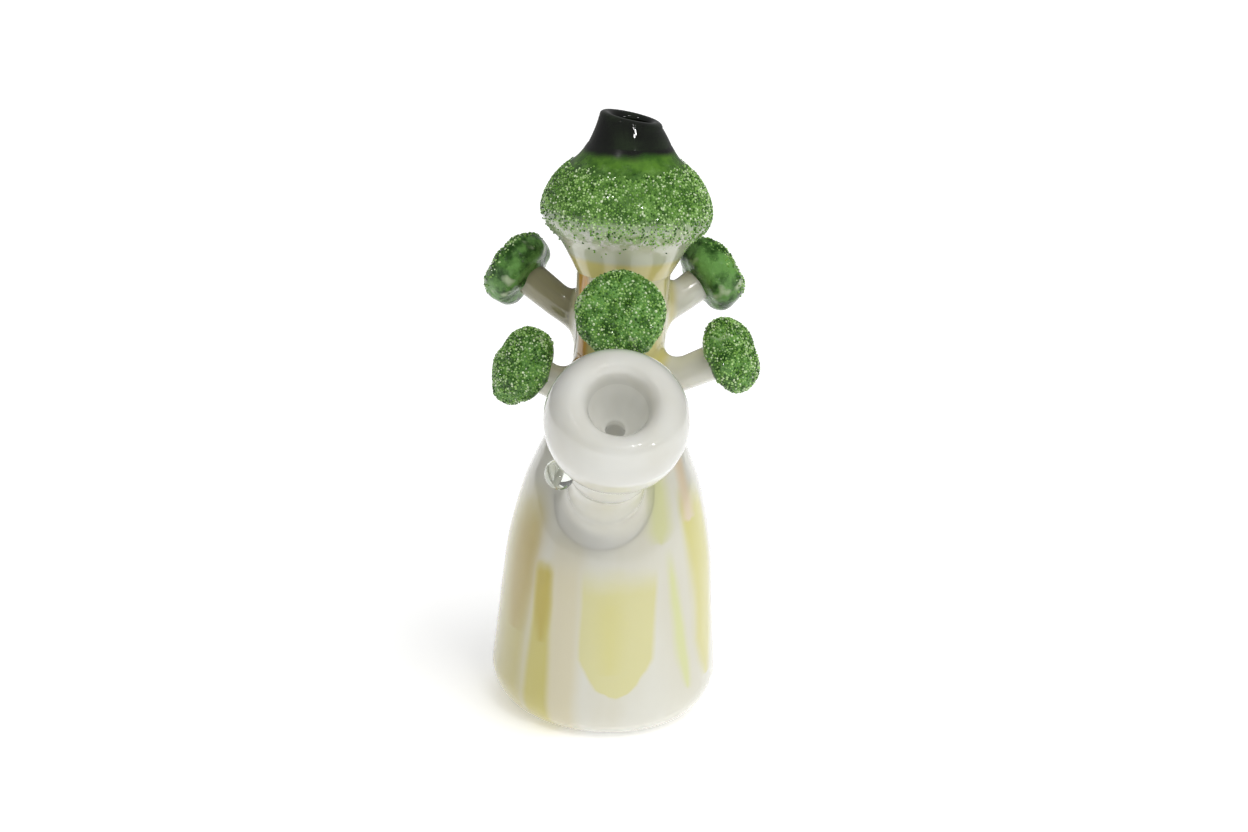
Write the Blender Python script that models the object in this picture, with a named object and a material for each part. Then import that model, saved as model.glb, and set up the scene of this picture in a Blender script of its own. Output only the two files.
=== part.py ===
"""A blown-glass water pipe shaped like a head of broccoli.

Hollow turned shells make the body: the base vessel with its neck, the crown and the
mouthpiece. A ground joint welded through the front of the base carries the bowl, which only
rests in it, and a downstem runs from that joint to the floor of the chamber. Florets, each a
stalk and a cap, stand out from the neck. Units are metres, +Z is up, the front is -Y, and the
origin is at the middle of the flat underside.
"""

import math

import bmesh
import bpy
from mathutils import Matrix, Vector

# Body of revolution: outer outlines as (radius, height), from the bottom up.
TOTAL_HEIGHT = 0.160
BASE_RADIUS = 0.0302
BASE_CORNER = 0.012
BODY_OUTLINE = [
    (BASE_RADIUS, BASE_CORNER), (0.0291, 0.024), (0.0281, 0.036), (0.0268, 0.048), (0.0235, 0.062),
    (0.0200, 0.071), (0.0133, 0.087), (0.0119, 0.095), (0.0116, 0.106), (0.0121, 0.1195),
]
CROWN_OUTLINE = [
    (0.0121, 0.1195), (0.0163, 0.127), (0.0200, 0.131), (0.0215, 0.1345), (0.0207, 0.139),
    (0.0178, 0.144), (0.0129, 0.1485), (0.0104, 0.1520),
]
MOUTHPIECE_OUTLINE = [(0.0104, 0.1520), (0.0090, 0.1550), (0.0080, 0.1575)]
WALL = 0.0032
FLOOR_THICKNESS = 0.0040
MOUTHPIECE_BORE = 0.0050
RIM_ROUNDING = 0.0014
RIM_SLOPE = 0.17

# Ground joint: the axis leans forwards and up, and heights along it are measured from its weld.
JOINT_ORIGIN = Vector((-0.0019, -0.0180, 0.0644))
JOINT_AZIMUTH = math.radians(4.4)
JOINT_ELEVATION = math.radians(45)
SOCKET_RADIUS = 0.00975
SOCKET_MOUTH = 0.0180
SOCKET_END = -0.0050
SOCKET_NECK = -0.0090
MALE_TOP_RADIUS = 0.00725
MALE_END_RADIUS = 0.00620
MALE_END = -0.0020
BOWL_BORE = 0.0040
BOWL_HOLE = 0.00235
BOWL_FLOOR = 0.0385
BOWL_OUTSIDE = [(0.0132, 0.0260), (0.0156, 0.0340), (0.0169, 0.0405), (0.0170, 0.0455), (0.0156, 0.0505)]
BOWL_RIM = [(0.0128, 0.0536), (0.0104, 0.0543), (0.0086, 0.0530)]
BOWL_CUP = [(0.0076, 0.0500), (0.0064, 0.0455), (0.0040, 0.0405)]
KNOB_RADIUS = 0.0038
KNOB_HEIGHT = 0.0262
KNOB_REACH = 0.0146
KNOB_ANGLE = math.radians(205)

# Downstem inside the chamber: it leaves the joint along its axis and bends to plumb.
STEM_RADIUS = 0.0045
STEM_BORE = 0.0030
STEM_LEAD = 0.0010
STEM_BEND = 0.0140
STEM_CLEARANCE = 0.0110

# Florets: azimuth from the front towards +X, root height on the neck's axis, and the cap's
# distance from that axis, height, radius and thickness.
FLORETS = {
    "front": (0, 0.0955, 0.0270, 0.1162, 0.0108, 0.0095),
    "lower_left": (-65, 0.0810, 0.0267, 0.0969, 0.0099, 0.0100),
    "lower_right": (70, 0.0850, 0.0306, 0.1023, 0.0099, 0.0095),
    "upper_left": (-115, 0.0985, 0.0315, 0.1166, 0.0104, 0.0105),
    "upper_right": (118, 0.1010, 0.0263, 0.1176, 0.0104, 0.0115),
}
STALK_TIP_RADIUS = 0.0046
STALK_WAIST_RADIUS = 0.0043
STALK_FLARE_MIDDLE = 0.0062
STALK_FLARE_RADIUS = 0.0092
FLARE_START = 0.0090
CAP_SEAT = 0.28

GAP = 0.0003
BODY_SEGMENTS = 40
CORNER_STEPS = 5
BOWL_SEGMENTS = 36
SMALL_SEGMENTS = 20
SMOOTH_ANGLE = math.radians(40)

# Linear base colour, roughness and transmission of each finish.
FINISHES = {
    "streaked_opal": ((0.78, 0.76, 0.58), 0.12, 0.0),
    "white_opal": ((0.80, 0.79, 0.75), 0.10, 0.0),
    "green_frit": ((0.08, 0.24, 0.04), 0.35, 0.0),
    "black_glass": ((0.010, 0.018, 0.012), 0.06, 0.0),
    "clear_glass": ((0.80, 0.84, 0.80), 0.03, 0.9),
}


def clear_scene():
    for thing in list(bpy.data.objects):
        bpy.data.objects.remove(thing, do_unlink=True)


def finish_material(name):
    colour, roughness, transmission = FINISHES[name]
    material = bpy.data.materials.get(name) or bpy.data.materials.new(name)
    material.use_nodes = True
    shader = material.node_tree.nodes["Principled BSDF"]
    shader.inputs["Base Color"].default_value = (*colour, 1)
    shader.inputs["Roughness"].default_value = roughness
    shader.inputs["Metallic"].default_value = 0
    shader.inputs["Transmission Weight"].default_value = transmission
    return material


def smooth_outline(points, steps):
    """A Catmull-Rom curve through the points, with this many steps to a span."""
    ends = [2 * Vector(points[0]) - Vector(points[1])]
    ends += [Vector(p) for p in points]
    ends += [2 * Vector(points[-1]) - Vector(points[-2])]
    curve = []
    for a, b, c, d in zip(ends, ends[1:], ends[2:], ends[3:]):
        for step in range(steps):
            t = step / steps
            curve.append(0.5 * (2 * b + (c - a) * t + (2 * a - 5 * b + 4 * c - d) * t**2
                                + (3 * b - a - 3 * c + d) * t**3))
    return curve + [Vector(points[-1])]


def arc(centre, radius, start, end, steps):
    """Points of a round stretch; angles in degrees, 0 pointing outwards and 90 up."""
    angles = [math.radians(start + (end - start) * i / steps) for i in range(steps + 1)]
    return [Vector(centre) + radius * Vector((math.cos(a), math.sin(a))) for a in angles]


def inset_outline(outline, depth):
    """The outline moved inwards, square to itself, for the inside of a wall."""
    moved = []
    for i, point in enumerate(outline):
        along = (outline[min(i + 1, len(outline) - 1)] - outline[max(i - 1, 0)]).normalized()
        moved.append(point + depth * Vector((-along.y, along.x)))
    return moved


def new_object(name, mesh, finish, parent=None):
    mesh.materials.append(finish_material(finish))
    thing = bpy.data.objects.new(name, mesh)
    bpy.context.scene.collection.objects.link(thing)
    thing.parent = parent
    return thing


def turned(name, outline, finish, segments, closed=True, parent=None):
    """Spins a half section, given as (radius, height), about the local Z axis."""
    shape = bmesh.new()
    verts = [shape.verts.new((p[0], 0, p[1])) for p in outline]
    edges = [shape.edges.new(pair) for pair in zip(verts, verts[1:])]
    if closed:
        edges.append(shape.edges.new((verts[-1], verts[0])))
    bmesh.ops.spin(shape, geom=verts + edges, cent=(0, 0, 0), axis=(0, 0, 1),
                   angle=2 * math.pi, steps=segments, use_merge=True)
    bmesh.ops.remove_doubles(shape, verts=shape.verts, dist=1e-6)
    bmesh.ops.recalc_face_normals(shape, faces=shape.faces)
    mesh = bpy.data.meshes.new(name)
    shape.to_mesh(mesh)
    shape.free()
    mesh.shade_smooth()
    mesh.set_sharp_from_angle(angle=SMOOTH_ANGLE)
    return new_object(name, mesh, finish, parent)


def axis_empty(name, origin, direction):
    """An empty whose local Z lies along the direction; pieces on that axis are its children."""
    empty = bpy.data.objects.new(name, None)
    bpy.context.scene.collection.objects.link(empty)
    turn = Vector(direction).to_track_quat("Z", "Y").to_matrix().to_4x4()
    empty.matrix_world = Matrix.Translation(origin) @ turn
    return empty


def cut(thing, cutter, label):
    cutter.hide_render = True
    cutter.display_type = "WIRE"
    boolean = thing.modifiers.new(label, "BOOLEAN")
    boolean.operation = "DIFFERENCE"
    boolean.object = cutter


def base_outside():
    flat_radius = BASE_RADIUS - BASE_CORNER
    corner = arc((flat_radius, BASE_CORNER), BASE_CORNER, -90, 0, CORNER_STEPS)
    return corner[:-1] + smooth_outline(BODY_OUTLINE, 2)


def base_vessel():
    outside = base_outside()
    chamber = [p for p in inset_outline(outside, WALL) if p.y > FLOOR_THICKNESS + WALL]
    floor = [Vector((0, FLOOR_THICKNESS)), Vector((chamber[0].x * 0.8, FLOOR_THICKNESS))]
    outline = [Vector((0, 0))] + outside + (floor + chamber)[::-1]
    return turned("base_vessel", outline, "streaked_opal", BODY_SEGMENTS, closed=False)


def crown():
    outside = smooth_outline(CROWN_OUTLINE, 2)
    inside = inset_outline(outside, WALL)
    inside[0] = Vector((outside[0].x - WALL, outside[0].y))
    inside[-1] = Vector((MOUTHPIECE_BORE, outside[-1].y))
    piece = turned("crown", outside + inside[::-1], "green_frit", BODY_SEGMENTS)
    piece.location.z = GAP
    return piece


def mouthpiece():
    outside = smooth_outline(MOUTHPIECE_OUTLINE, 2)
    lip_radius = (outside[-1].x - MOUTHPIECE_BORE) / 2
    lip_middle_radius = outside[-1].x - lip_radius
    lip_height = TOTAL_HEIGHT - 2 * GAP - RIM_ROUNDING - RIM_SLOPE * lip_middle_radius
    lip_middle = Vector((lip_middle_radius, lip_height))
    lip = [lip_middle + Vector((math.cos(a) * lip_radius, math.sin(a) * RIM_ROUNDING))
           for a in (math.pi * step / 6 for step in range(7))]
    bore = [Vector((MOUTHPIECE_BORE, outside[0].y))]
    piece = turned("mouthpiece", outside[:-1] + lip + bore, "black_glass", 32)
    rise = lip_height - outside[0].y
    for vertex in piece.data.vertices:
        share = max(0, (vertex.co.z - outside[0].y) / rise)
        vertex.co.z -= RIM_SLOPE * vertex.co.x * min(share, 1) ** 2
    piece.location.z = 2 * GAP
    return piece


def joint_axis():
    direction = Vector((math.sin(JOINT_AZIMUTH) * math.cos(JOINT_ELEVATION),
                        -math.cos(JOINT_AZIMUTH) * math.cos(JOINT_ELEVATION),
                        math.sin(JOINT_ELEVATION)))
    return axis_empty("joint_axis", JOINT_ORIGIN, direction), direction


def male_radius(height):
    """Taper of the ground joint at this height along its axis."""
    share = (height - MALE_END) / (SOCKET_MOUTH - MALE_END)
    return MALE_END_RADIUS + share * (MALE_TOP_RADIUS - MALE_END_RADIUS)


def joint_socket(axis):
    seat = MALE_END - 2 * GAP
    outline = [
        (SOCKET_RADIUS, SOCKET_END), (SOCKET_RADIUS, SOCKET_MOUTH - 0.0006),
        (SOCKET_RADIUS - 0.0006, SOCKET_MOUTH), (male_radius(SOCKET_MOUTH) + GAP, SOCKET_MOUTH),
        (male_radius(seat) + GAP, seat), (STEM_BORE, seat - 0.0016), (STEM_BORE, SOCKET_NECK),
        (STEM_RADIUS, SOCKET_NECK),
    ]
    return turned("joint_socket", outline, "white_opal", BOWL_SEGMENTS, parent=axis)


def joint_hole(vessel, axis):
    hole = turned("joint_hole_cutter", [(0, -0.030), (SOCKET_RADIUS + GAP, -0.030),
                                        (SOCKET_RADIUS + GAP, 0.020), (0, 0.020)],
                  "clear_glass", BOWL_SEGMENTS, closed=False, parent=axis)
    cut(vessel, hole, "joint hole")


def bowl_outside():
    return smooth_outline([(0.0094, 0.0200)] + BOWL_OUTSIDE + BOWL_RIM + BOWL_CUP, 2)


def bowl(axis):
    shoulder = SOCKET_MOUTH + GAP
    joint = [(male_radius(MALE_END), MALE_END), (male_radius(SOCKET_MOUTH), SOCKET_MOUTH),
             (male_radius(SOCKET_MOUTH), shoulder), (0.0086, shoulder + 0.0004)]
    passage = [(BOWL_HOLE, BOWL_FLOOR), (BOWL_HOLE, BOWL_FLOOR - 0.0020),
               (BOWL_BORE, BOWL_FLOOR - 0.0050), (BOWL_BORE, MALE_END)]
    outline = joint + bowl_outside() + passage
    return turned("bowl", outline, "white_opal", BOWL_SEGMENTS, parent=axis)


def bowl_knob(axis):
    """A clear glass nub fused to the side of the bowl, to lift it by."""
    ball = arc((0, 0), KNOB_RADIUS, -90, 90, 10)
    knob = turned("bowl_knob", ball, "clear_glass", SMALL_SEGMENTS, closed=False, parent=axis)
    knob.location = (math.cos(KNOB_ANGLE) * KNOB_REACH, math.sin(KNOB_ANGLE) * KNOB_REACH, KNOB_HEIGHT)
    grown = inset_outline(bowl_outside()[:10], -GAP)
    grown = [Vector((0, grown[0].y))] + grown + [Vector((0, grown[-1].y))]
    cutter = turned("bowl_cutter", grown, "clear_glass", BOWL_SEGMENTS, closed=False, parent=axis)
    cut(knob, cutter, "bowl side")
    return knob


def stem_path(direction):
    """Middle line of the downstem: along the joint's axis, round the bend, then straight down."""
    up = Vector((0, 0, 1))
    back = Vector((-direction.x, -direction.y, 0)).normalized()
    start = JOINT_ORIGIN + direction * (SOCKET_NECK - GAP)
    bend_start = start - direction * STEM_LEAD
    first_angle = math.pi / 2 - JOINT_ELEVATION
    centre = bend_start - STEM_BEND * (math.cos(first_angle) * back + math.sin(first_angle) * up)
    angles = [first_angle * (1 - step / 5) for step in range(6)]
    bend = [centre + STEM_BEND * (math.cos(a) * back + math.sin(a) * up) for a in angles]
    return [start] + bend + [Vector((bend[-1].x, bend[-1].y, STEM_CLEARANCE))]


def downstem(direction):
    """A tube along the stem's path: rings outside and inside, bridged at both ends."""
    path = stem_path(direction)
    shape = bmesh.new()
    rings = []
    for radius in (STEM_RADIUS, STEM_BORE):
        side = []
        for i, point in enumerate(path):
            along = (path[min(i + 1, len(path) - 1)] - path[max(i - 1, 0)]).normalized()
            turn = Matrix.Translation(point) @ along.to_track_quat("Z", "X").to_matrix().to_4x4()
            ring = bmesh.ops.create_circle(shape, segments=14, radius=radius, matrix=turn)["verts"]
            side.append(ring)
        rings.append(side)
    outer, inner = rings
    pairs = list(zip(outer, outer[1:])) + list(zip(inner, inner[1:]))
    pairs += [(outer[0], inner[0]), (outer[-1], inner[-1])]
    for first, second in pairs:
        for i in range(len(first)):
            j = (i + 1) % len(first)
            shape.faces.new((first[i], first[j], second[j], second[i]))
    bmesh.ops.recalc_face_normals(shape, faces=shape.faces)
    mesh = bpy.data.meshes.new("downstem")
    shape.to_mesh(mesh)
    shape.free()
    mesh.shade_smooth()
    mesh.set_sharp_from_angle(angle=SMOOTH_ANGLE)
    return new_object("downstem", mesh, "clear_glass")


def floret(name, neck_cutter):
    """A stalk that flares where it meets the neck, and the cap on its end."""
    azimuth, root, reach, height, radius, thickness = FLORETS[name]
    turn = math.radians(azimuth)
    cap_middle = Vector((math.sin(turn) * reach, -math.cos(turn) * reach, height))
    start = Vector((0, 0, root))
    length = (cap_middle - start).length
    axis = axis_empty("floret_axis_" + name, start, cap_middle - start)

    seat = thickness * CAP_SEAT
    tip = length - seat - GAP
    flare = smooth_outline([(STALK_FLARE_RADIUS, FLARE_START), (STALK_FLARE_MIDDLE, FLARE_START + 0.005),
                            (STALK_WAIST_RADIUS, (FLARE_START + tip) / 2 + 0.003),
                            (STALK_TIP_RADIUS, tip)], 2)
    outline = [Vector((0, FLARE_START))] + flare + [Vector((0, tip))]
    stalk = turned("stalk_" + name, outline, "white_opal", SMALL_SEGMENTS, closed=False, parent=axis)
    cut(stalk, neck_cutter, "neck")

    low, top = -thickness * 0.45, thickness * 0.55
    half = [(0, -seat), (STALK_TIP_RADIUS + 0.0006, -seat),
            (radius * 0.76, low), (radius * 0.95, -thickness * 0.26), (radius, 0.0),
            (radius * 0.93, thickness * 0.26), (radius * 0.66, thickness * 0.46),
            (radius * 0.30, top), (0, top)]
    cap = turned("cap_" + name, half, "green_frit", SMALL_SEGMENTS + 4, closed=False, parent=axis)
    cap.location.z = length
    return stalk, cap


def main():
    clear_scene()
    vessel = base_vessel()
    crown()
    mouthpiece()
    axis, direction = joint_axis()
    joint_hole(vessel, axis)
    joint_socket(axis)
    bowl(axis)
    bowl_knob(axis)
    downstem(direction)
    grown = [Vector((0, 0))] + inset_outline(base_outside()[CORNER_STEPS:], -GAP)
    grown += inset_outline(smooth_outline(CROWN_OUTLINE, 2)[1:], -GAP)
    grown.append(Vector((0, grown[-1].y)))
    neck_cutter = turned("neck_cutter", grown, "clear_glass", BODY_SEGMENTS, closed=False)
    for name in FLORETS:
        floret(name, neck_cutter)


main()
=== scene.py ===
import math

import bpy
import numpy as np
from mathutils import Matrix, Vector, noise


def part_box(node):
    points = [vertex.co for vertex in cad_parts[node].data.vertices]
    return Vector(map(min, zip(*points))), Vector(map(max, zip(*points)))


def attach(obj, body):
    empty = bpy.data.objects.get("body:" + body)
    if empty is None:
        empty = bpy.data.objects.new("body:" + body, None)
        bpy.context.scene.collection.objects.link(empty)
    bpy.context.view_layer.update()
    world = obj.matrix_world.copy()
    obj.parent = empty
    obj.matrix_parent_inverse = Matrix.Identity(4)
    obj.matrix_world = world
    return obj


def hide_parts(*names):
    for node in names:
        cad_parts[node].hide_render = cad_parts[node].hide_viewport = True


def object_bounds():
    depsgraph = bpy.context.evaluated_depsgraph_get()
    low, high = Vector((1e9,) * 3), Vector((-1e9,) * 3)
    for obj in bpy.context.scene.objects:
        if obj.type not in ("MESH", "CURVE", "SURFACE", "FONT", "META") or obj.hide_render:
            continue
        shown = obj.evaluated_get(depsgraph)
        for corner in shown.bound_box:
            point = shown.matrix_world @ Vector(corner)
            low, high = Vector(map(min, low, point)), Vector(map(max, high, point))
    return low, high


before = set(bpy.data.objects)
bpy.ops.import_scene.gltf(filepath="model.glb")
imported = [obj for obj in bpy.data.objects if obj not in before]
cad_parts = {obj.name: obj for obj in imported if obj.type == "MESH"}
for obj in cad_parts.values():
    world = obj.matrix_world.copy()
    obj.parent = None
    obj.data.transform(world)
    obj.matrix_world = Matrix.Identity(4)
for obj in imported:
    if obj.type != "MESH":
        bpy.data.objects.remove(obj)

mm = 0.001
cadLow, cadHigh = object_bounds()
floretNames = ("front", "lower_left", "lower_right", "upper_left", "upper_right")
print("frame loaded: glass pipe,", len(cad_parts), "nodes")


# ---- curves and turned shapes

def smoothCurve(points, steps):  # Catmull-Rom curve through the points
    pts = np.array(points, float)
    pts = np.vstack([2 * pts[0] - pts[1], pts, 2 * pts[-1] - pts[-2]])
    t = np.linspace(0, 1, steps, endpoint=False)[:, None]
    spans = [0.5 * (2 * b + (c - a) * t + (2 * a - 5 * b + 4 * c - d) * t**2 + (3 * b - a - 3 * c + d) * t**3)
             for a, b, c, d in zip(pts, pts[1:], pts[2:], pts[3:])]
    return np.vstack(spans + [pts[-2:-1]])


def arcPoints(centre, radius, start, end, steps):  # degrees, 0 outwards and 90 up
    angles = np.radians(np.linspace(start, end, steps + 1))
    return np.array(centre) + radius * np.column_stack([np.cos(angles), np.sin(angles)])


def insetCurve(curve, depth):  # the curve moved towards the axis, square to itself
    along = np.gradient(curve, axis=0)
    along /= np.linalg.norm(along, axis=1)[:, None]
    return curve + depth * np.column_stack([-along[:, 1], along[:, 0]])


def turnedParts(outline, segments, loop):  # an outline in (radius, height) spun round Z
    angles = np.linspace(0, 2 * math.pi, segments, endpoint=False)
    points, rings, faces = [], [], []
    for radius, height in outline:
        if radius < 1e-7:
            rings.append([len(points)])
            points.append((0, 0, height))
        else:
            rings.append(list(range(len(points), len(points) + segments)))
            points += [(radius * math.cos(a), radius * math.sin(a), height) for a in angles]
    pairs = list(zip(rings, rings[1:])) + ([(rings[-1], rings[0])] if loop else [])
    for low, high in pairs:
        for i in range(segments):
            j = (i + 1) % segments
            corners = [low[i % len(low)], low[j % len(low)], high[j % len(high)], high[i % len(high)]]
            faces.append(list(dict.fromkeys(corners)))
    return np.array(points), [f for f in faces if len(f) > 2]


def addPiece(name, points, faces, material, replaced=(), sharpAngle=45):
    mesh = bpy.data.meshes.new(name)
    mesh.from_pydata([tuple(p) for p in points], [], faces)
    mesh.materials.append(material)
    mesh.shade_smooth()
    mesh.set_sharp_from_angle(angle=math.radians(sharpAngle))
    piece = bpy.data.objects.new(name, mesh)
    bpy.context.scene.collection.objects.link(piece)
    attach(piece, "root")
    if replaced:
        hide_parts(*replaced)
    return piece


def axisFrame(origin, direction):  # local Z along the direction, local Y as near to up as it goes
    turn = Vector(direction).to_track_quat("Z", "Y").to_matrix()
    return np.array(turn), np.array(origin)


def placed(points, basis):
    turn, origin = basis
    return np.array(points) @ turn.T + origin


def slanted(azimuth, elevation):  # a direction from degrees right of the front and degrees up
    turn, lift = math.radians(azimuth), math.radians(elevation)
    return np.array([math.sin(turn) * math.cos(lift), -math.cos(turn) * math.cos(lift), math.sin(lift)])


# ---- material helpers

def setInputs(tree, node, inputs):  # a socket is linked, a number or colour is set
    for key, value in inputs.items():
        if isinstance(value, bpy.types.NodeSocket):
            tree.links.new(value, node.inputs[key])
        else:
            node.inputs[key].default_value = value


def addNode(tree, kind, inputs, **settings):
    node = tree.nodes.new(kind)
    for key, value in settings.items():
        setattr(node, key, value)
    setInputs(tree, node, inputs)
    return node


def sums(tree, operation, *values, clamp=False):
    node = addNode(tree, "ShaderNodeMath", {}, operation=operation, use_clamp=clamp)
    setInputs(tree, node, dict(enumerate(values)))
    return node.outputs[0]


def step(tree, value, low, high):  # 0 below low and 1 above high, smoothly
    node = addNode(tree, "ShaderNodeMapRange", {0: value, 1: low, 2: high}, interpolation_type="SMOOTHSTEP")
    return node.outputs[0]


def mixColour(tree, share, first, second):
    node = tree.nodes.new("ShaderNodeMix")
    node.data_type = "RGBA"
    setInputs(tree, node, {0: share, 6: first, 7: second})
    return node.outputs[2]


def noiseValue(tree, vector, scale, detail=3.0, roughness=0.5):
    inputs = {"Vector": vector, "Scale": scale, "Detail": detail, "Roughness": roughness}
    return addNode(tree, "ShaderNodeTexNoise", inputs).outputs["Fac"]


def colour(red, green, blue):  # screen values 0 to 255 to linear
    return tuple(((c / 255 + 0.055) / 1.055) ** 2.4 if c > 10 else c / 255 / 12.92
                 for c in (red, green, blue)) + (1,)


def glassMaterial(name, **constants):  # a glossy Principled material and its object coordinates
    material = bpy.data.materials.new(name)
    material.use_nodes = True
    tree = material.node_tree
    shader = tree.nodes["Principled BSDF"]
    look = {"Roughness": 0.25, "Specular IOR Level": 0.4, "Coat Weight": 1.0, "Coat Roughness": 0.015,
            "Coat IOR": 1.5, "IOR": 1.5, **constants}
    for key, value in look.items():
        shader.inputs[key].default_value = value
    place = tree.nodes.new("ShaderNodeTexCoord").outputs["Object"]
    return material, tree, shader, place


def addBump(tree, shader, height, distance, strength=1.0):
    bump = addNode(tree, "ShaderNodeBump", {"Height": height, "Distance": distance, "Strength": strength})
    tree.links.new(bump.outputs["Normal"], shader.inputs["Normal"])


def polar(tree, place):  # azimuth from the front in degrees, height and distance from the axis in mm
    split = addNode(tree, "ShaderNodeSeparateXYZ", {0: place})
    x, y, z = split.outputs
    turn = sums(tree, "ARCTAN2", x, sums(tree, "MULTIPLY", y, -1.0))
    azimuth = sums(tree, "MULTIPLY", turn, math.degrees(1))
    height = sums(tree, "MULTIPLY", z, 1000.0)
    flat = addNode(tree, "ShaderNodeCombineXYZ", {0: x, 1: y})
    length = addNode(tree, "ShaderNodeVectorMath", {0: flat.outputs[0]}, operation="LENGTH")
    radius = sums(tree, "MULTIPLY", length.outputs["Value"], 1000.0)
    return azimuth, height, radius


# ---- glass finishes

streaks = {
    # each streak: azimuth and half width in degrees at its low and high end, heights in mm,
    # how far its low end rounds off, edge softness in mm at both ends, and its colour
    "white": colour(208, 207, 196),
    "list": [
        dict(az=(-80, -72), half=(36, 28), z=(-4, 68), soft=14, edge=8, tint=colour(188, 179, 116)),
        dict(az=(-56, -52), half=(12, 13), z=(26, 64), round=14, soft=14, edge=8, tint=colour(178, 160, 90)),
        # painted shade: this streak is the white glass darkened and warmed to how it looks in shade
        dict(az=(-22, -22), half=(8, 9), z=(-4, 60), soft=18, edge=5, tint=colour(203, 196, 168)),
        dict(az=(7, 7), half=(19.5, 20.5), z=(14.5, 50), round=9, soft=9.0, edge=1.8, tint=colour(203, 199, 146)),
        dict(az=(4, 2), half=(9, 6), z=(20, 46), round=14, soft=10, edge=7, tint=colour(203, 198, 134)),
        dict(az=(-36, -35), half=(9.0, 4.0), z=(-4, 50), soft=6.0, edge=3, tint=colour(190, 181, 98)),
        dict(az=(-35, -35), half=(4.5, 4.5), z=(26, 49), round=12, soft=5.0, edge=3, tint=colour(180, 164, 60)),
        dict(az=(-112, -118), half=(8, 5), z=(12, 58), round=8, soft=6, edge=2, tint=colour(196, 186, 116)),
        dict(az=(49, 35), half=(4.5, 2.2), z=(13, 54), round=8, soft=10, edge=3, tint=colour(201, 204, 150)),
        dict(az=(68, 62), half=(9, 14), z=(14, 68), round=12, soft=8, edge=5, tint=colour(200, 194, 118)),
        dict(az=(57, 60), half=(4.5, 7), z=(58, 80), soft=6, edge=5, tint=colour(208, 192, 166)),
        dict(az=(31, 31), half=(8, 7), z=(54, 76), round=4, soft=9, edge=6, tint=colour(200, 201, 156)),
        dict(az=(112, 106), half=(9, 6), z=(8, 62), round=8, soft=7, edge=2, tint=colour(204, 199, 140)),
        dict(az=(150, 146), half=(5, 8), z=(18, 70), round=6, soft=6, edge=2, tint=colour(199, 203, 148)),
        dict(az=(176, 172), half=(10, 7), z=(-4, 46), soft=7, edge=2.5, tint=colour(204, 198, 146)),
        dict(az=(-146, -140), half=(6, 9), z=(22, 72), round=5, soft=6, edge=2.5, tint=colour(208, 190, 162)),
    ],
    # the stalk colour here is painted shade for the left stalks, which sit away from the key light
    "neckYellow": colour(202, 191, 120), "neckOrange": colour(200, 150, 60), "stalkPaintedShade": colour(146, 141, 110), "crownLow": colour(190, 193, 168), "neckTop": 124.5,
}


def streakMask(tree, azimuth, height, streak):
    along = step(tree, height, *streak["z"])
    low, high = streak["z"]
    share = sums(tree, "DIVIDE", sums(tree, "SUBTRACT", height, float(low)), float(high - low), clamp=True)
    middle = sums(tree, "MULTIPLY_ADD", share, float(streak["az"][1] - streak["az"][0]), float(streak["az"][0]))
    half = sums(tree, "MULTIPLY_ADD", share, float(streak["half"][1] - streak["half"][0]),
                float(streak["half"][0]))
    if "round" in streak:
        end = sums(tree, "DIVIDE", sums(tree, "SUBTRACT", height, float(low)), float(streak["round"]), clamp=True)
        half = sums(tree, "MULTIPLY", half, sums(tree, "SQRT", end))
    away = sums(tree, "ABSOLUTE", sums(tree, "SUBTRACT", azimuth, middle))
    inside = step(tree, sums(tree, "SUBTRACT", half, away), -streak["edge"], streak["edge"])
    top = sums(tree, "SUBTRACT", 1.0, step(tree, height, float(high - streak["soft"]), float(high)))
    bottom = step(tree, height, float(low), float(low + 1.0))
    return sums(tree, "MULTIPLY", sums(tree, "MULTIPLY", inside, top), bottom)


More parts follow.
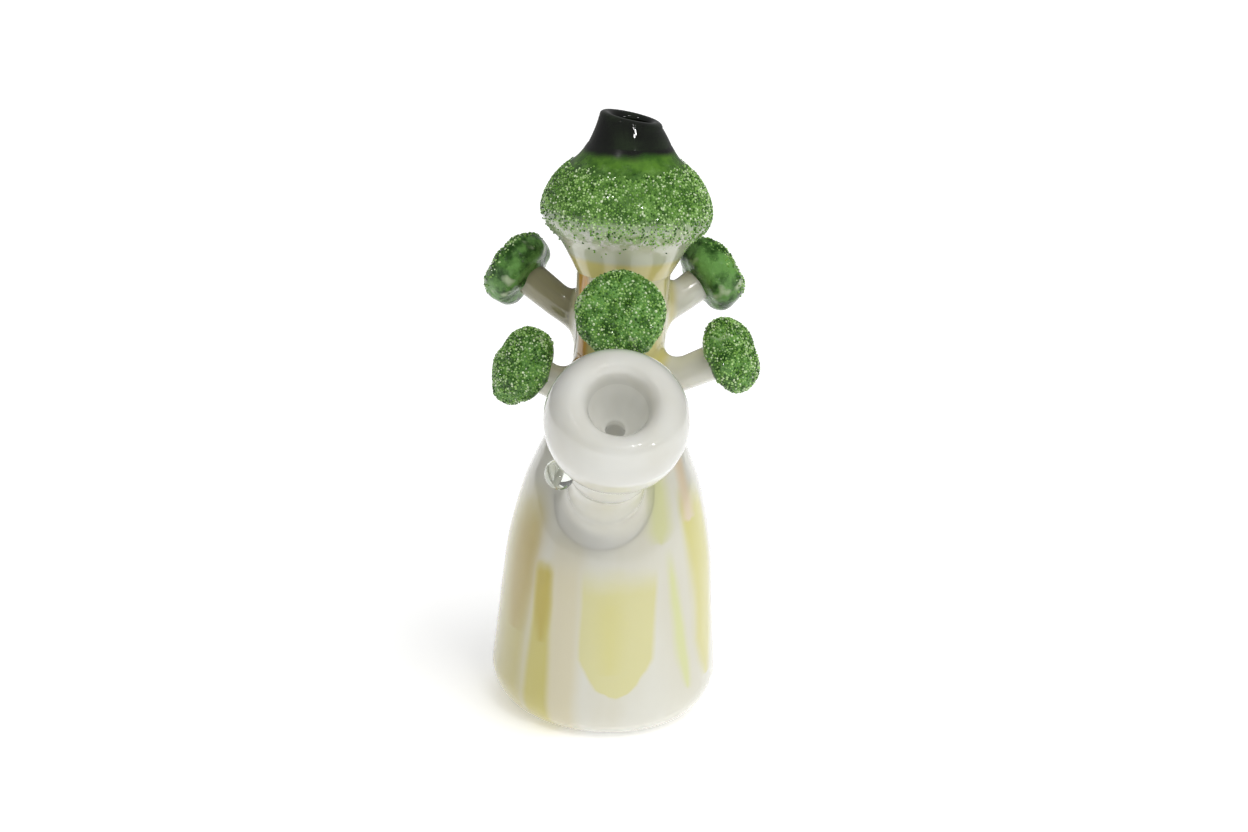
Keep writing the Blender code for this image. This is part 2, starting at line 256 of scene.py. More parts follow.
def streakedOpal():  # white opal with colour drawn up through it, cased in clear, plus painted shade on the left stalks and one streak
    material, tree, shader, place = glassMaterial("streakedOpal")
    azimuth, height, radius = polar(tree, place)
    wander = addNode(tree, "ShaderNodeMapping", {"Vector": place, "Scale": (1, 1, 0.25)}).outputs[0]
    drift = sums(tree, "MULTIPLY_ADD", noiseValue(tree, wander, 90.0, 2.0), 9.0, -4.5)
    azimuth = sums(tree, "ADD", azimuth, drift)
    height = sums(tree, "ADD", height, sums(tree, "MULTIPLY_ADD", noiseValue(tree, place, 110.0), 5.0, -2.5))
    cloud = noiseValue(tree, wander, 60.0, 3.0)
    body = mixColour(tree, step(tree, cloud, 0.35, 0.75), streaks["white"], colour(203, 200, 184))
    for streak in streaks["list"]:
        body = mixColour(tree, streakMask(tree, azimuth, height, streak), body, streak["tint"])
    neckSide = sums(tree, "ABSOLUTE", sums(tree, "ADD", azimuth, 57.0))
    orange = sums(tree, "SUBTRACT", 1.0, step(tree, neckSide, 6.0, 17.0))
    neck = mixColour(tree, step(tree, cloud, 0.40, 0.62), streaks["neckYellow"], colour(206, 202, 172))
    neck = mixColour(tree, orange, neck, streaks["neckOrange"])
    onNeck = sums(tree, "MULTIPLY", step(tree, height, 84.0, 97.0), sums(
        tree, "SUBTRACT", 1.0, step(tree, radius, 12.3, 15.5)))
    body = mixColour(tree, onNeck, body, neck)
    # painted shade: stalks on the left side, away from the key light, are darkened to a grey olive
    shadedStalkMask = sums(tree, "MULTIPLY", step(tree, radius, 11.8, 14.0), step(tree, height, 92.0, 98.0))
    shadedStalkMask = sums(tree, "MULTIPLY", shadedStalkMask, step(tree, sums(tree, "MULTIPLY", azimuth, -1.0), 45.0, 75.0))
    body = mixColour(tree, shadedStalkMask, body, streaks["stalkPaintedShade"])
    crownWhite = step(tree, height, streaks["neckTop"] - 1.2, streaks["neckTop"] + 0.8)
    body = mixColour(tree, crownWhite, body, streaks["white"])
    tree.links.new(body, shader.inputs["Base Color"])
    shader.inputs["Subsurface Weight"].default_value = 0.5
    shader.inputs["Subsurface Scale"].default_value = 0.008
    shader.inputs["Subsurface Radius"].default_value = (1.0, 0.96, 0.88)
    addBump(tree, shader, noiseValue(tree, wander, 45.0, 1.0), 0.0006, 0.5)
    return material


def whiteOpal(name="whiteOpal", glow=0.0):  # plain opal, and with a glow where light comes through it
    material, tree, shader, place = glassMaterial(name, **{"Emission Strength": glow})
    cloud = noiseValue(tree, place, 70.0, 2.0)
    body = mixColour(tree, step(tree, cloud, 0.3, 0.75), colour(210, 210, 204), colour(203, 202, 193))
    tree.links.new(body, shader.inputs["Base Color"])
    tree.links.new(body, shader.inputs["Emission Color"])
    shader.inputs["Subsurface Weight"].default_value = 0.5
    shader.inputs["Subsurface Scale"].default_value = 0.008
    shader.inputs["Subsurface Radius"].default_value = (1.0, 0.96, 0.88)
    addBump(tree, shader, noiseValue(tree, place, 55.0, 1.0), 0.0005, 0.4)
    return material


def crownGlass():  # white below, green where the grains melted in, smooth green at the top
    material, tree, shader, place = glassMaterial("crownGlass")
    azimuth, height, radius = polar(tree, place)
    ragged = noiseValue(tree, place, 420.0, 4.0, 0.65)
    mottle = noiseValue(tree, place, 260.0, 4.0, 0.6)
    edge = sums(tree, "ADD", height, sums(tree, "MULTIPLY_ADD", ragged, 9.0, -4.5))
    green = mixColour(tree, step(tree, mottle, 0.35, 0.68), colour(52, 92, 28), colour(110, 154, 70))
    under = mixColour(tree, step(tree, ragged, 0.42, 0.60), colour(150, 168, 120), streaks["white"])
    body = mixColour(tree, step(tree, edge, 131.0, 138.5), under, green)
    body = mixColour(tree, step(tree, edge, 128.0, 131.0), streaks["crownLow"], body)
    smooth = mixColour(tree, step(tree, mottle, 0.3, 0.7), colour(44, 84, 16), colour(84, 128, 36))
    body = mixColour(tree, step(tree, edge, 145.5, 148.5), body, smooth)
    drips = sums(tree, "ADD", height, sums(tree, "MULTIPLY_ADD", noiseValue(tree, place, 130.0), 4.0, -2.0))
    body = mixColour(tree, step(tree, drips, 149.6, 151.4), body, colour(14, 18, 12))
    yellow = sums(tree, "SUBTRACT", 1.0, step(tree, height, streaks["neckTop"] - 1.2, streaks["neckTop"] + 0.8))
    body = mixColour(tree, yellow, body, streaks["neckYellow"])
    tree.links.new(body, shader.inputs["Base Color"])
    grit = sums(tree, "MULTIPLY", step(tree, edge, 129.0, 133.0),
                sums(tree, "SUBTRACT", 1.0, step(tree, edge, 145.5, 148.0)))
    addBump(tree, shader, sums(tree, "MULTIPLY", noiseValue(tree, place, 900.0, 3.0), grit), 0.0005)
    return material


def capGlass():  # melted green, dark and light patches under the grains
    material, tree, shader, place = glassMaterial(
        "capGlass", **{"Specular IOR Level": 0.15, "Coat Weight": 0.35, "Coat IOR": 1.33})
    patch = noiseValue(tree, place, 210.0, 5.0, 0.62)
    fine = noiseValue(tree, place, 900.0, 3.0, 0.6)
    green = mixColour(tree, step(tree, patch, 0.36, 0.62), colour(36, 70, 22), colour(102, 148, 76))
    green = mixColour(tree, step(tree, fine, 0.58, 0.78), green, colour(124, 164, 92))
    pale = noiseValue(tree, place, 150.0, 2.0)
    green = mixColour(tree, step(tree, pale, 0.62, 0.72), green, colour(170, 186, 150))
    tree.links.new(green, shader.inputs["Base Color"])
    addBump(tree, shader, noiseValue(tree, place, 380.0, 3.0), 0.0007)
    return material


def gritGlass():  # crushed grains, each with its own green
    material, tree, shader, place = glassMaterial(
        "gritGlass", **{"Roughness": 0.22, "Specular IOR Level": 0.35, "Coat Weight": 0.35})
    tint = addNode(tree, "ShaderNodeAttribute", {}, attribute_name="grainTint").outputs["Fac"]
    ramp = tree.nodes.new("ShaderNodeValToRGB")
    tree.links.new(tint, ramp.inputs["Fac"])
    stops = ramp.color_ramp.elements
    stops[0].position, stops[0].color = 0.0, colour(36, 74, 14)
    stops[1].position, stops[1].color = 1.0, colour(214, 228, 192)
    for position, tone in ((0.22, (68, 114, 36)), (0.54, (122, 168, 74)), (0.82, (164, 202, 122))):
        stops.new(position).color = colour(*tone)
    patch = noiseValue(tree, place, 130.0, 3.0)
    body = mixColour(tree, step(tree, patch, 0.2, 0.5), colour(84, 130, 40), ramp.outputs["Color"])
    tree.links.new(body, shader.inputs["Base Color"])
    return material


def blackGlass():
    material, tree, shader, place = glassMaterial("blackGlass", **{"Roughness": 0.05})
    cloud = noiseValue(tree, place, 120.0, 3.0)
    body = mixColour(tree, step(tree, cloud, 0.4, 0.75), colour(12, 15, 11), colour(30, 40, 24))
    tree.links.new(body, shader.inputs["Base Color"])
    addBump(tree, shader, noiseValue(tree, place, 60.0, 1.0), 0.0006, 0.5)
    return material


def clearGlass():
    material, tree, shader, place = glassMaterial(
        "clearGlass", **{"Roughness": 0.0, "Transmission Weight": 1.0, "Coat Weight": 0.0})
    cloud = noiseValue(tree, place, 200.0, 2.0)
    body = mixColour(tree, cloud, colour(250, 252, 248), colour(236, 242, 232))
    tree.links.new(body, shader.inputs["Base Color"])
    addBump(tree, shader, noiseValue(tree, place, 130.0, 2.0), 0.0004, 0.5)
    return material


finishes = {make.__name__: make() for make in (
    streakedOpal, whiteOpal, crownGlass, capGlass, gritGlass, blackGlass, clearGlass)}
# painted light: the bowl's bore and cup glow to stand in for light scattered through the opal
finishes["boreOpalPaintedGlow"] = whiteOpal("boreOpalPaintedGlow", 0.22)
finishes["cupOpalPaintedGlow"] = whiteOpal("cupOpalPaintedGlow", 0.10)
print("glass finishes mixed:", ", ".join(finishes))


# ---- body: base vessel, crown and mouthpiece, turned about the upright axis

bodyShape = {  # radius and height in mm, outer side from the base corner upwards
    "corner": 12.0, "wall": 3.2, "floor": 4.0, "bore": 5.0,
    "base": [(30.2, 12), (29.1, 24), (28.1, 36), (26.8, 48), (23.5, 62), (20.0, 71), (13.3, 87),
             (11.9, 95), (11.6, 106), (12.1, 119.5)],
    "crown": [(12.1, 119.5), (16.3, 127), (20.0, 131), (21.5, 134.5), (20.7, 139), (17.8, 144),
              (12.9, 148.5), (10.4, 152.0)],
    "mouthpiece": [(10.4, 152.0), (9.0, 155), (8.0, 157.5)],
    "rimSlope": 0.17, "rimRounding": 1.4, "segments": 144,
}
baseLow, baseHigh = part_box("base_vessel")
bodyScale = (baseHigh.x - baseLow.x) / 2 / (bodyShape["base"][0][0])  # metres for each mm of the outline
baseRadius = bodyShape["base"][0][0]
cornerCentre = (baseRadius - bodyShape["corner"], bodyShape["corner"])
cornerCurve = arcPoints(cornerCentre, bodyShape["corner"], -90, 0, 14)
baseCurve = np.vstack([cornerCurve[:-1], smoothCurve(bodyShape["base"], 8)])
crownCurve = smoothCurve(bodyShape["crown"], 8)
bodyCurve = np.vstack([baseCurve, crownCurve[1:]])


def bodyRadius(height):  # outer radius of the body in mm
    return np.interp(height, bodyCurve[:, 1], bodyCurve[:, 0])


def handBlown(points, amount):  # low, slow swells that a hand-blown wall has
    moved = []
    for x, y, z in points:
        reach = math.hypot(x, y)
        swell = abs(noise.noise(Vector((x, y, z * 0.6)) * 28)) * amount * min(1, max(0, z) / 0.02)
        scale = 1 + swell / reach if reach > 0.004 else 1
        moved.append((x * scale, y * scale, z))
    return np.array(moved)


def buildVessel():
    chamber = insetCurve(baseCurve, bodyShape["wall"])
    chamber = chamber[chamber[:, 1] > bodyShape["floor"] + 1.5]
    floorLine = [(0, bodyShape["floor"]), (chamber[0, 0] * 0.85, bodyShape["floor"])]
    outline = np.vstack([[(0, 0)], baseCurve, np.vstack([floorLine, chamber])[::-1]])
    points, faces = turnedParts(outline * bodyScale, bodyShape["segments"], loop=False)
    points = handBlown(points, -0.0004)
    return addPiece("vesselGlass", points, faces, finishes["streakedOpal"], ["base_vessel"])


def buildCrown():
    inside = insetCurve(crownCurve, bodyShape["wall"])
    inside[0] = (crownCurve[0, 0] - bodyShape["wall"], crownCurve[0, 1])
    inside[-1] = (bodyShape["bore"], crownCurve[-1, 1])
    points, faces = turnedParts(np.vstack([crownCurve, inside[::-1]]) * bodyScale, bodyShape["segments"], loop=True)
    return addPiece("crownGlass", points, faces, finishes["crownGlass"], ["crown"])


def buildMouthpiece():
    outside = smoothCurve(bodyShape["mouthpiece"], 8)
    lipHalf = (outside[-1, 0] - bodyShape["bore"]) / 2
    lipMiddle = outside[-1, 0] - lipHalf
    top = cadHigh.z / bodyScale
    lipHeight = top - bodyShape["rimRounding"] - bodyShape["rimSlope"] * lipMiddle - 0.1
    turns = np.radians(np.linspace(0, 180, 13))
    lip = np.column_stack([lipMiddle + lipHalf * np.cos(turns), lipHeight + bodyShape["rimRounding"] * np.sin(turns)])
    outline = np.vstack([outside[:-1], lip, [(bodyShape["bore"], outside[0, 1])]])
    points, faces = turnedParts(outline * bodyScale, bodyShape["segments"], loop=True)
    foot = outside[0, 1] * bodyScale
    share = np.clip((points[:, 2] - foot) / (lipHeight * bodyScale - foot), 0, 1) ** 2
    points[:, 2] -= bodyShape["rimSlope"] * points[:, 0] * share
    return addPiece("mouthpieceGlass", points, faces, finishes["blackGlass"], ["mouthpiece"])


vessel = buildVessel()
crown = buildCrown()
mouthpiece = buildMouthpiece()
print("body turned")


# ---- stems fused to the body: each flares into it with a rounded weld

def surfaceHit(starts, direction):  # where lines coming in against the direction meet the body, in metres
    steps = np.arange(0.075, -0.030, -0.0004)
    hits = []
    for start in starts:
        line = start + steps[:, None] * direction
        inside = np.hypot(line[:, 0], line[:, 1]) < bodyRadius(line[:, 2] / bodyScale) * bodyScale
        first = int(np.argmax(inside))
        out, into = steps[first - 1], steps[first]
        for _ in range(18):
            middle = (out + into) / 2
            p = start + middle * direction
            if math.hypot(p[0], p[1]) < bodyRadius(p[2] / bodyScale) * bodyScale:
                into = middle
            else:
                out = middle
        hits.append(start + into * direction)
    return np.array(hits)


def surfaceNormal(points):
    height = points[:, 2] / bodyScale
    slope = (bodyRadius(height + 0.2) - bodyRadius(height - 0.2)) / 0.4
    reach = np.hypot(points[:, 0], points[:, 1])
    normals = np.column_stack([points[:, 0] / reach, points[:, 1] / reach, -slope])
    return normals / np.linalg.norm(normals, axis=1)[:, None]


def fusedStem(origin, direction, foot, weldEnd, waist, rings, segments=64, weldSteps=14):
    # foot is the weld's reach up and down, and sideways; rings are (distance, radius) past the weld
    turn, origin = axisFrame(origin, direction)
    angles = np.linspace(0, 2 * math.pi, segments, endpoint=False)
    spokes = np.cos(angles)[:, None] * turn[:, 0] + np.sin(angles)[:, None] * turn[:, 1]
    reach = np.hypot(foot[1] * np.cos(angles), foot[0] * np.sin(angles))[:, None]
    axis = turn[:, 2]
    ground = surfaceHit(origin + spokes * reach, axis)
    normals = surfaceNormal(ground)
    inwards = -spokes + normals * np.sum(spokes * normals, axis=1)[:, None]
    inwards /= np.linalg.norm(inwards, axis=1)[:, None]
    start = ground + normals * 0.00003
    end = origin + axis * weldEnd + spokes * waist
    span = np.linalg.norm(end - start, axis=1)[:, None]
    startPull, endPull = start + inwards * span * 0.55, end - axis * span * 0.45
    sections = [ground - normals * 0.0009]
    for t in np.linspace(0, 1, weldSteps):
        sections.append((1 - t) ** 3 * start + 3 * (1 - t) ** 2 * t * startPull
                        + 3 * (1 - t) * t**2 * endPull + t**3 * end)
    for distance, radius in rings:
        sections.append(origin + axis * distance + spokes * radius)
    points = np.vstack(sections)
    faces = []
    for k in range(len(sections) - 1):
        for i in range(segments):
            j = (i + 1) % segments
            faces.append([k * segments + i, k * segments + j, (k + 1) * segments + j, (k + 1) * segments + i])
    return points, faces, sections


def closeFan(points, faces, ring, centre, outwards):  # a fan of triangles from a ring to one point
    hub = len(points)
    points = np.vstack([points, centre])
    for i in range(len(ring)):
        j = (i + 1) % len(ring)
        faces.append([ring[i], ring[j], hub] if outwards else [ring[j], ring[i], hub])
    return points, faces


floretShape = {
    "weldUp": 9.4, "weldSide": 7.4, "weldEnd": 22.5, "waist": 4.3, "tip": 4.6, "segments": 64,
    "capLumps": 0.00045, "capSegments": 72,
    "grow": {"front": 1.04, "lower_left": 1.06, "lower_right": 1.02, "upper_left": 1.03, "upper_right": 0.99},
    # degrees right of the front, then mm: height of the root, reach and height of the cap, its radius, its thickness
    "front": (0, 95.5, 27.0, 115.4, 10.8, 9.5),
    "lower_left": (-65, 81.0, 26.7, 96.4, 9.9, 10.0),
    "lower_right": (70, 85.0, 30.2, 102.0, 9.9, 9.5),
    "upper_left": (-115, 98.5, 30.6, 115.7, 10.4, 10.5),
    "upper_right": (118, 101.0, 26.0, 117.2, 10.4, 11.5),
    # radius as a share of the cap's, height as a share of its thickness
    "capOutline": [(0.30, -0.62), (0.47, -0.50), (0.62, -0.47), (0.80, -0.42), (0.95, -0.26), (1.0, 0.0),
                   (0.93, 0.26), (0.70, 0.44), (0.34, 0.53), (0.0, 0.55)],
}


def floretAxis(name):  # its root on the body's axis, its direction, and its cap's distance, radius and thickness
    azimuth, root, reach, height, radius, thickness = floretShape[name]
    axis = slanted(azimuth, math.degrees(math.atan2(height - root, reach)))
    return np.array([0, 0, root * mm]), axis, math.hypot(reach, height - root) * mm, radius * mm, thickness * mm


def buildStalk(name):
    start, axis, run, capRadius, thickness = floretAxis(name)
    scale = bodyScale
    weldEnd = min(floretShape["weldEnd"] * scale, run - thickness * 0.45 - 0.0025)
    foot = (floretShape["weldUp"] * scale, floretShape["weldSide"] * scale)
    tip = run - thickness * 0.20
    rings = [(weldEnd + (tip - weldEnd) * s, (floretShape["waist"] + (floretShape["tip"] - floretShape["waist"]) * s)
              * scale) for s in (0.25, 0.5, 0.75, 1.0)]
    points, faces, sections = fusedStem(start, axis, foot, weldEnd, floretShape["waist"] * scale, rings)
    count = floretShape["segments"]
    last = (len(sections) - 1) * count
    points, faces = closeFan(points, faces, range(last, last + count), sections[-1].mean(axis=0), True)
    points, faces = closeFan(points, faces, range(count), sections[0].mean(axis=0), False)
    return addPiece("stalkGlass_" + name, points, faces, finishes["streakedOpal"], ["stalk_" + name])


def buildCap(name, seed):
    start, axis, run, radius, thickness = floretAxis(name)
    outline = smoothCurve(floretShape["capOutline"], 5) * (radius * floretShape["grow"].get(name, 1.0), thickness - 0.0003)
    outline[-1, 0] = 0
    outline = np.vstack([[(0, outline[0, 1])], outline])
    points, faces = turnedParts(outline, floretShape["capSegments"], loop=False)
    lumpy = []
    for p in points:
        away = Vector(p).normalized() if Vector(p).length > 1e-6 else Vector((0, 0, 1))
        share = min(1, math.hypot(p[0], p[1]) / (radius * 0.6)) if p[2] < 0 else 1
        swell = (noise.noise(away * 1.9 + Vector((seed, 0, 0))) - 0.45) * floretShape["capLumps"] * 2 * share
        lumpy.append(Vector(p) + away * swell)
    points = placed(lumpy, axisFrame(start + axis * run, axis))
    return addPiece("capGlass_" + name, points, faces, finishes["capGlass"], ["cap_" + name])


stalks = {name: buildStalk(name) for name in floretNames}
caps = {name: buildCap(name, seed) for seed, name in enumerate(floretNames)}
print("florets welded:", len(caps))


# ---- ground joint, bowl and its nub

jointShape = {  # mm along the joint's axis from the weld, and radii
    "origin": (-1.9, -18.0, 64.4), "azimuth": 4.4, "elevation": 45.0,
    "outside": 9.75, "lip": 0.7, "mouth": 18.0, "end": -9.0, "wallHole": 3.0, "seat": -2.6,
    "weldUp": 13.2, "weldSide": 12.6, "weldEnd": 9.5,
    "maleTop": 7.25, "maleEnd": 6.2, "maleLow": -2.0, "clearance": 0.3,
}
bowlShape = {
    "collar": [(8.6, 18.7), (10.0, 19.6), (11.0, 22.0), (11.3, 26.0), (11.2, 31.6)],
    "outline": [(11.6, 32.0), (13.3, 32.8), (15.0, 35.4), (16.4, 39.0), (17.0, 42.5), (17.1, 45.5), (16.1, 49.4),
                (14.0, 52.3), (11.6, 53.7), (9.3, 53.5), (7.7, 51.6), (6.6, 47.6), (5.3, 43.6), (3.5, 40.4),
                (2.4, 39.2)],
    "hole": 2.35, "floor": 38.6, "bore": 4.0, "segments": 128,
}
knobShape = {"radius": 3.8, "squash": 0.92, "shift": (1.1, -0.8, 0.6)}
jointOrigin = np.array(jointShape["origin"]) * mm
jointAxis = slanted(jointShape["azimuth"], jointShape["elevation"])
jointBasis = axisFrame(jointOrigin, jointAxis)


def maleRadius(height):
    share = (height - jointShape["maleLow"]) / (jointShape["mouth"] - jointShape["maleLow"])
    return jointShape["maleEnd"] + share * (jointShape["maleTop"] - jointShape["maleEnd"])


def buildSocket():
    mouth, outside, lip = jointShape["mouth"], jointShape["outside"], jointShape["lip"]
    turns = np.radians(np.linspace(0, 90, 6))
    rings = [(mouth - lip - 3, outside)]
    rings += [(mouth - lip + lip * math.sin(t), outside - lip + lip * math.cos(t)) for t in turns]
    seatRadius = maleRadius(jointShape["seat"]) + jointShape["clearance"]
    rings += [(mouth, maleRadius(mouth) + jointShape["clearance"]), (jointShape["seat"], seatRadius),
              (jointShape["seat"] - 1.6, jointShape["wallHole"]), (jointShape["end"], jointShape["wallHole"]),
              (jointShape["end"], 4.5), (-5.0, outside), (-1.0, outside)]
    rings = [(distance * mm, radius * mm) for distance, radius in rings]
    foot = (jointShape["weldUp"] * mm, jointShape["weldSide"] * mm)
    points, faces, sections = fusedStem(jointOrigin, jointAxis, foot, jointShape["weldEnd"] * mm,
                                        outside * mm, rings, segments=96)
    count, last = 96, (len(sections) - 1) * 96
    for i in range(count):
        j = (i + 1) % count
        faces.append([last + i, last + j, j, i])
    return addPiece("jointGlass", points, faces, finishes["streakedOpal"], ["joint_socket"])


def buildBowl():
    male = [(maleRadius(jointShape["maleLow"]), jointShape["maleLow"]), (maleRadius(jointShape["mouth"]),
            jointShape["mouth"]), (maleRadius(jointShape["mouth"]), jointShape["mouth"] + jointShape["clearance"])]
    passage = [(bowlShape["hole"], bowlShape["floor"]), (bowlShape["hole"], bowlShape["floor"] - 2),
               (bowlShape["bore"], bowlShape["floor"] - 5), (bowlShape["bore"], jointShape["maleLow"])]
    outline = np.vstack([male, smoothCurve(bowlShape["collar"], 5), smoothCurve(bowlShape["outline"], 6), passage]) * mm
    points, faces = turnedParts(outline, bowlShape["segments"], loop=True)
    bowl = addPiece("bowlGlass", placed(points, jointBasis), faces, finishes["whiteOpal"], ["bowl"],
                    sharpAngle=60)
    bowl.data.materials.append(finishes["boreOpalPaintedGlow"])
    bowl.data.materials.append(finishes["cupOpalPaintedGlow"])
    # bore faces and cup faces take the glowing opal, painted light in place of light scattered through the glass
    for face, corners in zip(bowl.data.polygons, faces):
        middle = np.mean([points[i] for i in corners], axis=0) / mm
        reach = math.hypot(middle[0], middle[1])
        if reach < bowlShape["bore"] + 0.1 and middle[2] < bowlShape["floor"] + 0.3:
            face.material_index = 1
        elif reach < 7.0 and middle[2] > bowlShape["floor"]:
            face.material_index = 2
    return bowl


def buildKnob():
    low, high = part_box("bowl_knob")
    middle = np.array((low + high) / 2) + np.array(knobShape["shift"]) * mm
    outline = arcPoints((0, 0), knobShape["radius"], -90, 90, 24) * (1, knobShape["squash"]) * mm
    outline[[0, -1], 0] = 0
    points, faces = turnedParts(outline, 48, loop=False)
    outwards = middle - jointOrigin - jointAxis * ((middle - jointOrigin) @ jointAxis)
    return addPiece("knobGlass", placed(points, axisFrame(middle, outwards)), faces, finishes["clearGlass"],
                    ["bowl_knob"])


buildSocket()
buildBowl()
buildKnob()
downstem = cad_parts["downstem"]
downstem.data.materials.clear()
downstem.data.materials.append(finishes["clearGlass"])
print("joint, bowl and nub placed")


# ---- grit: crushed grains strewn over the crown and the caps

gritShape = {"spacing": 0.50, "small": 0.20, "large": 0.36, "crownLow": 132.0, "crownTop": 147.0, "speckDepth": 8.0}


def gritTree():
    tree = bpy.data.node_groups.new("strewGrit", "GeometryNodeTree")
    tree.interface.new_socket("Geometry", in_out="INPUT", socket_type="NodeSocketGeometry")
    for name, kind in (("Spacing", "Float"), ("Smallest", "Float"), ("Largest", "Float"), ("Seed", "Int")):
        tree.interface.new_socket(name, in_out="INPUT", socket_type="NodeSocket" + kind)
    tree.interface.new_socket("Grain Glass", in_out="INPUT", socket_type="NodeSocketMaterial")
    tree.interface.new_socket("Geometry", in_out="OUTPUT", socket_type="NodeSocketGeometry")
    given = tree.nodes.new("NodeGroupInput").outputs
    mask = addNode(tree, "GeometryNodeInputNamedAttribute", {"Name": "grit"}, data_type="FLOAT")
    strewn = addNode(tree, "GeometryNodeDistributePointsOnFaces", {
        "Mesh": given["Geometry"], "Distance Min": given["Spacing"], "Density Max": 1.2e7,
        "Density Factor": mask.outputs["Attribute"], "Seed": given["Seed"]}, distribute_method="POISSON")
    size = addNode(tree, "FunctionNodeRandomValue", {2: given["Smallest"], 3: given["Largest"],
                                                     "Seed": given["Seed"]}, data_type="FLOAT")
    stretch = addNode(tree, "FunctionNodeRandomValue", {0: (0.75, 0.75, 0.75), 1: (1.3, 1.3, 1.3), "Seed": 3},
                      data_type="FLOAT_VECTOR")
    scale = addNode(tree, "ShaderNodeVectorMath", {0: stretch.outputs[0]}, operation="SCALE")
    tree.links.new(size.outputs[1], scale.inputs["Scale"])
    turn = addNode(tree, "FunctionNodeRandomValue", {0: (0, 0, 0), 1: (6.28, 6.28, 6.28), "Seed": 5},
                   data_type="FLOAT_VECTOR")
    grain = addNode(tree, "GeometryNodeMeshIcoSphere", {"Radius": 1.0, "Subdivisions": 1})
    placedGrains = addNode(tree, "GeometryNodeInstanceOnPoints", {
        "Points": strewn.outputs["Points"], "Instance": grain.outputs["Mesh"], "Scale": scale.outputs[0],
        "Rotation": turn.outputs[0]})
    tint = addNode(tree, "FunctionNodeRandomValue", {2: 0.0, 3: 1.0, "Seed": 11}, data_type="FLOAT")
    tinted = addNode(tree, "GeometryNodeStoreNamedAttribute", {
        "Geometry": placedGrains.outputs[0], "Name": "grainTint"}, data_type="FLOAT", domain="INSTANCE")
    tree.links.new(tint.outputs[1], tinted.inputs["Value"])
    real = addNode(tree, "GeometryNodeRealizeInstances", {"Geometry": tinted.outputs[0]})
    coated = addNode(tree, "GeometryNodeSetMaterial", {"Geometry": real.outputs[0], "Material": given["Grain Glass"]})
    tree.links.new(coated.outputs[0], tree.nodes.new("NodeGroupOutput").inputs["Geometry"])
    return tree


strewGrit = gritTree()


def markGrit(piece, density):  # density is a function of a vertex place, 0 to 1
    layer = piece.data.attributes.new("grit", "FLOAT", "POINT")
    layer.data.foreach_set("value", [density(v.co) for v in piece.data.vertices])


def strew(piece, name, seed, scale=1.0):
    modifier = piece.modifiers.new("grit", "NODES")
    modifier.node_group = strewGrit
    settings = {"Spacing": gritShape["spacing"] * mm * scale, "Smallest": gritShape["small"] * mm * scale,
                "Largest": gritShape["large"] * mm * scale, "Seed": seed, "Grain Glass": finishes["gritGlass"]}
    sockets = {s.name: s.identifier for s in strewGrit.interface.items_tree if s.in_out == "INPUT"}
    for key, value in settings.items():
        modifier[sockets[key]] = value
    graph = bpy.context.evaluated_depsgraph_get()
    mesh = bpy.data.meshes.new_from_object(piece.evaluated_get(graph))
    mesh.name = name
    piece.modifiers.remove(modifier)
    grains = bpy.data.objects.new(name, mesh)
    bpy.context.scene.collection.objects.link(grains)
    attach(grains, "root")
    return grains


def smoothStep(value, low, high):
    share = min(1, max(0, (value - low) / (high - low)))
    return share * share * (3 - 2 * share)


def crownGrit(place):
    height, turn = place.z / bodyScale, math.atan2(place.x, -place.y)
    outside = math.hypot(place.x, place.y) / bodyScale > bodyRadius(height) - 1
    ragged = noise.noise(place * 420) * 1.3
    lowEdge = gritShape["crownLow"] - 1.6 * math.sin(turn + 0.35) + ragged
    topEdge = gritShape["crownTop"] + noise.noise(place * 160) * 2.0
    dense = (0.55 * smoothStep(height, lowEdge - 1.0, lowEdge + 0.8) + 0.45 * smoothStep(height, lowEdge, lowEdge + 6)) * (1 - smoothStep(height, topEdge - 1.2, topEdge + 0.6))
    specks = 0.05 * smoothStep(height, lowEdge - gritShape["speckDepth"], lowEdge - 1) if height < topEdge else 0
    return max(dense, specks) if outside else 0


def capGrit(name):
    start, axis, run, radius, thickness = floretAxis(name)
    middle, axis = Vector(start + axis * run), Vector(axis)
    rim, most = (0.10, 0.5) if name.startswith("upper") else (-0.32, 1.0)

    def density(place):
        along = (place - middle).dot(axis) / thickness
        return most * smoothStep(along + noise.noise(place * 300) * 0.10, rim - 0.05, rim + 0.15)
    return density


markGrit(crown, crownGrit)
strew(crown, "crownGrains", 21)
for seed, name in enumerate(floretNames):
    markGrit(caps[name], capGrit(name))
    strew(caps[name], "capGrains_" + name, 31 + seed)
print("grit strewn over the crown and", len(caps), "caps")


# ---- floor, lights and camera

studio = {
    "floor": 3.0, "distance": 0.477, "elevation": 18.0, "target": (0.0021, 0.0, 0.0808), "lens": 52.85,
    "roll": 3.05, "world": 0.14, "paper": 0.93, "glow": 0.36,
    "suns": [  # name, degrees right of the front, degrees up, strength, softness in degrees
        ("key", 38, 54, 2.10, 60), ("fill", -20, 60, 0.2, 90), ("back", 170, 35, 0.6, 60)],
    "sparks": [  # small bright lights for the glints: place and watts
        ((0.20, -0.60, 0.64), 0.22), ((0.27, -0.60, 0.62), 0.22), ((-0.30, -0.44, 0.72), 0.34),
        ((0.48, -0.52, 0.30), 0.16), ((0.04, -0.75, 0.14), 0.08)],
    "sparkSize": 0.030,
}


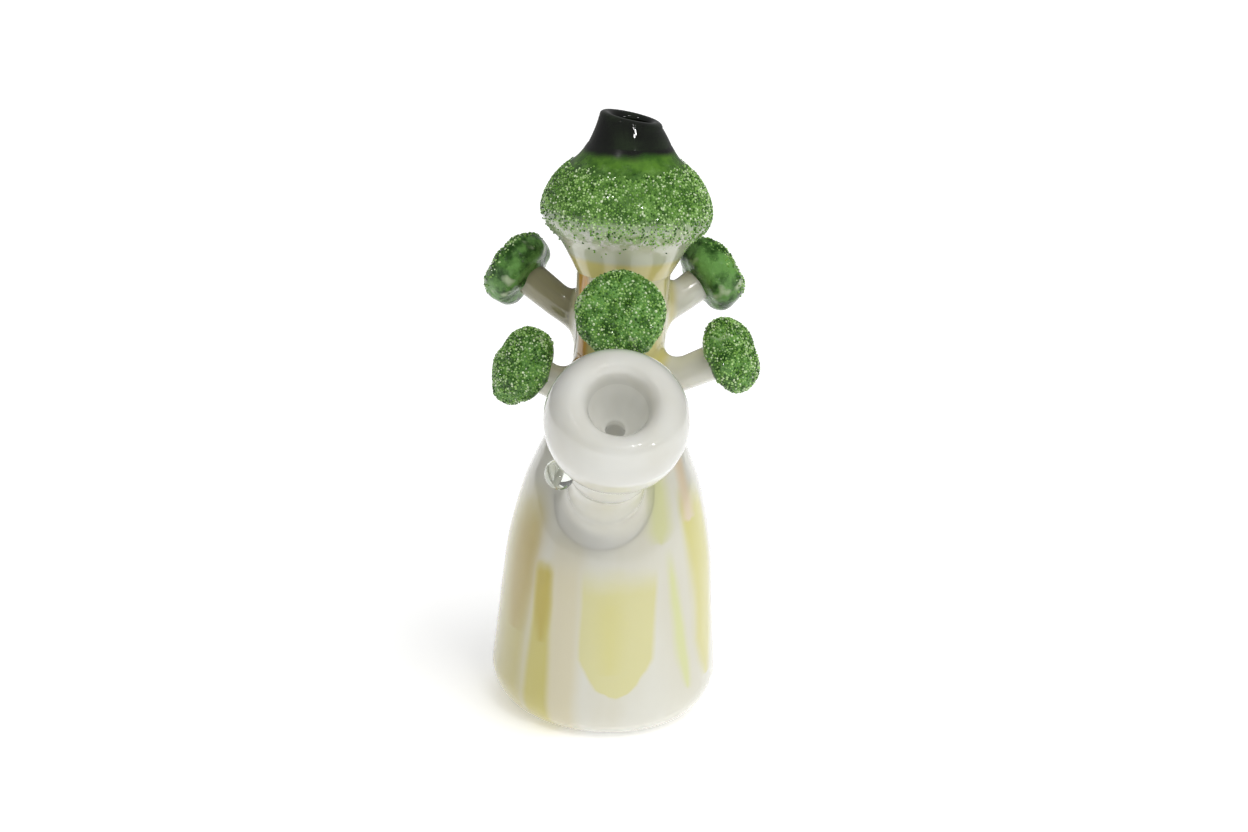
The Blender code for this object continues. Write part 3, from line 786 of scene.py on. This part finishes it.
def buildStudio():
    size = studio["floor"]
    points = [(-size, -size, 0), (size, -size, 0), (size, size, 0), (-size, size, 0)]
    mesh = bpy.data.meshes.new("floor")
    mesh.from_pydata([(x, y, cadLow.z) for x, y, _ in points], [], [(0, 1, 2, 3)])
    floor = bpy.data.objects.new("floor", mesh)
    bpy.context.scene.collection.objects.link(floor)
    paper = bpy.data.materials.new("paleFloor")
    paper.use_nodes = True
    shader = paper.node_tree.nodes["Principled BSDF"]
    shader.inputs["Base Color"].default_value = (studio["paper"],) * 3 + (1,)
    shader.inputs["Emission Color"].default_value = (1, 1, 1, 1)
    shader.inputs["Emission Strength"].default_value = studio["glow"]
    shader.inputs["Roughness"].default_value = 0.9
    shader.inputs["Specular IOR Level"].default_value = 0.2
    mesh.materials.append(paper)
    world = bpy.data.worlds.new("studio")
    world.use_nodes = True
    world.node_tree.nodes["Background"].inputs["Color"].default_value = (1, 1, 1, 1)
    seen = world.node_tree.nodes.new("ShaderNodeLightPath").outputs["Is Camera Ray"]
    strength = sums(world.node_tree, "MULTIPLY_ADD", seen, 1.0 - studio["world"], studio["world"])
    world.node_tree.links.new(strength, world.node_tree.nodes["Background"].inputs["Strength"])
    bpy.context.scene.world = world
    for name, azimuth, elevation, strength, softness in studio["suns"]:
        sun = bpy.data.lights.new(name, "SUN")
        sun.energy, sun.angle = strength, math.radians(softness)
        light = bpy.data.objects.new(name, sun)
        light.rotation_euler = Vector(-slanted(azimuth, elevation)).to_track_quat("-Z", "Y").to_euler()
        light.visible_glossy = False
        bpy.context.scene.collection.objects.link(light)
    for place, watts in studio["sparks"]:
        lamp = bpy.data.lights.new("spark", "AREA")
        lamp.size, lamp.energy = studio["sparkSize"], watts
        light = bpy.data.objects.new("spark", lamp)
        light.location = place
        light.rotation_euler = (Vector(studio["target"]) - Vector(place)).to_track_quat("-Z", "Y").to_euler()
        bpy.context.scene.collection.objects.link(light)
    lens = bpy.data.cameras.new("camera")
    lens.lens, lens.sensor_width, lens.clip_start = studio["lens"], 36.0, 0.01
    camera = bpy.data.objects.new("camera", lens)
    lift = math.radians(studio["elevation"])
    back = Vector((0, -math.cos(lift), math.sin(lift)))
    turn = (-back).to_track_quat("-Z", "Y").to_matrix() @ Matrix.Rotation(math.radians(studio["roll"]), 3, "Z")
    camera.matrix_world = Matrix.Translation(Vector(studio["target"]) + back * studio["distance"]) @ turn.to_4x4()
    bpy.context.scene.collection.objects.link(camera)
    bpy.context.scene.camera = camera
    bpy.context.scene.view_settings.view_transform = "Standard"


buildStudio()
print("studio set")
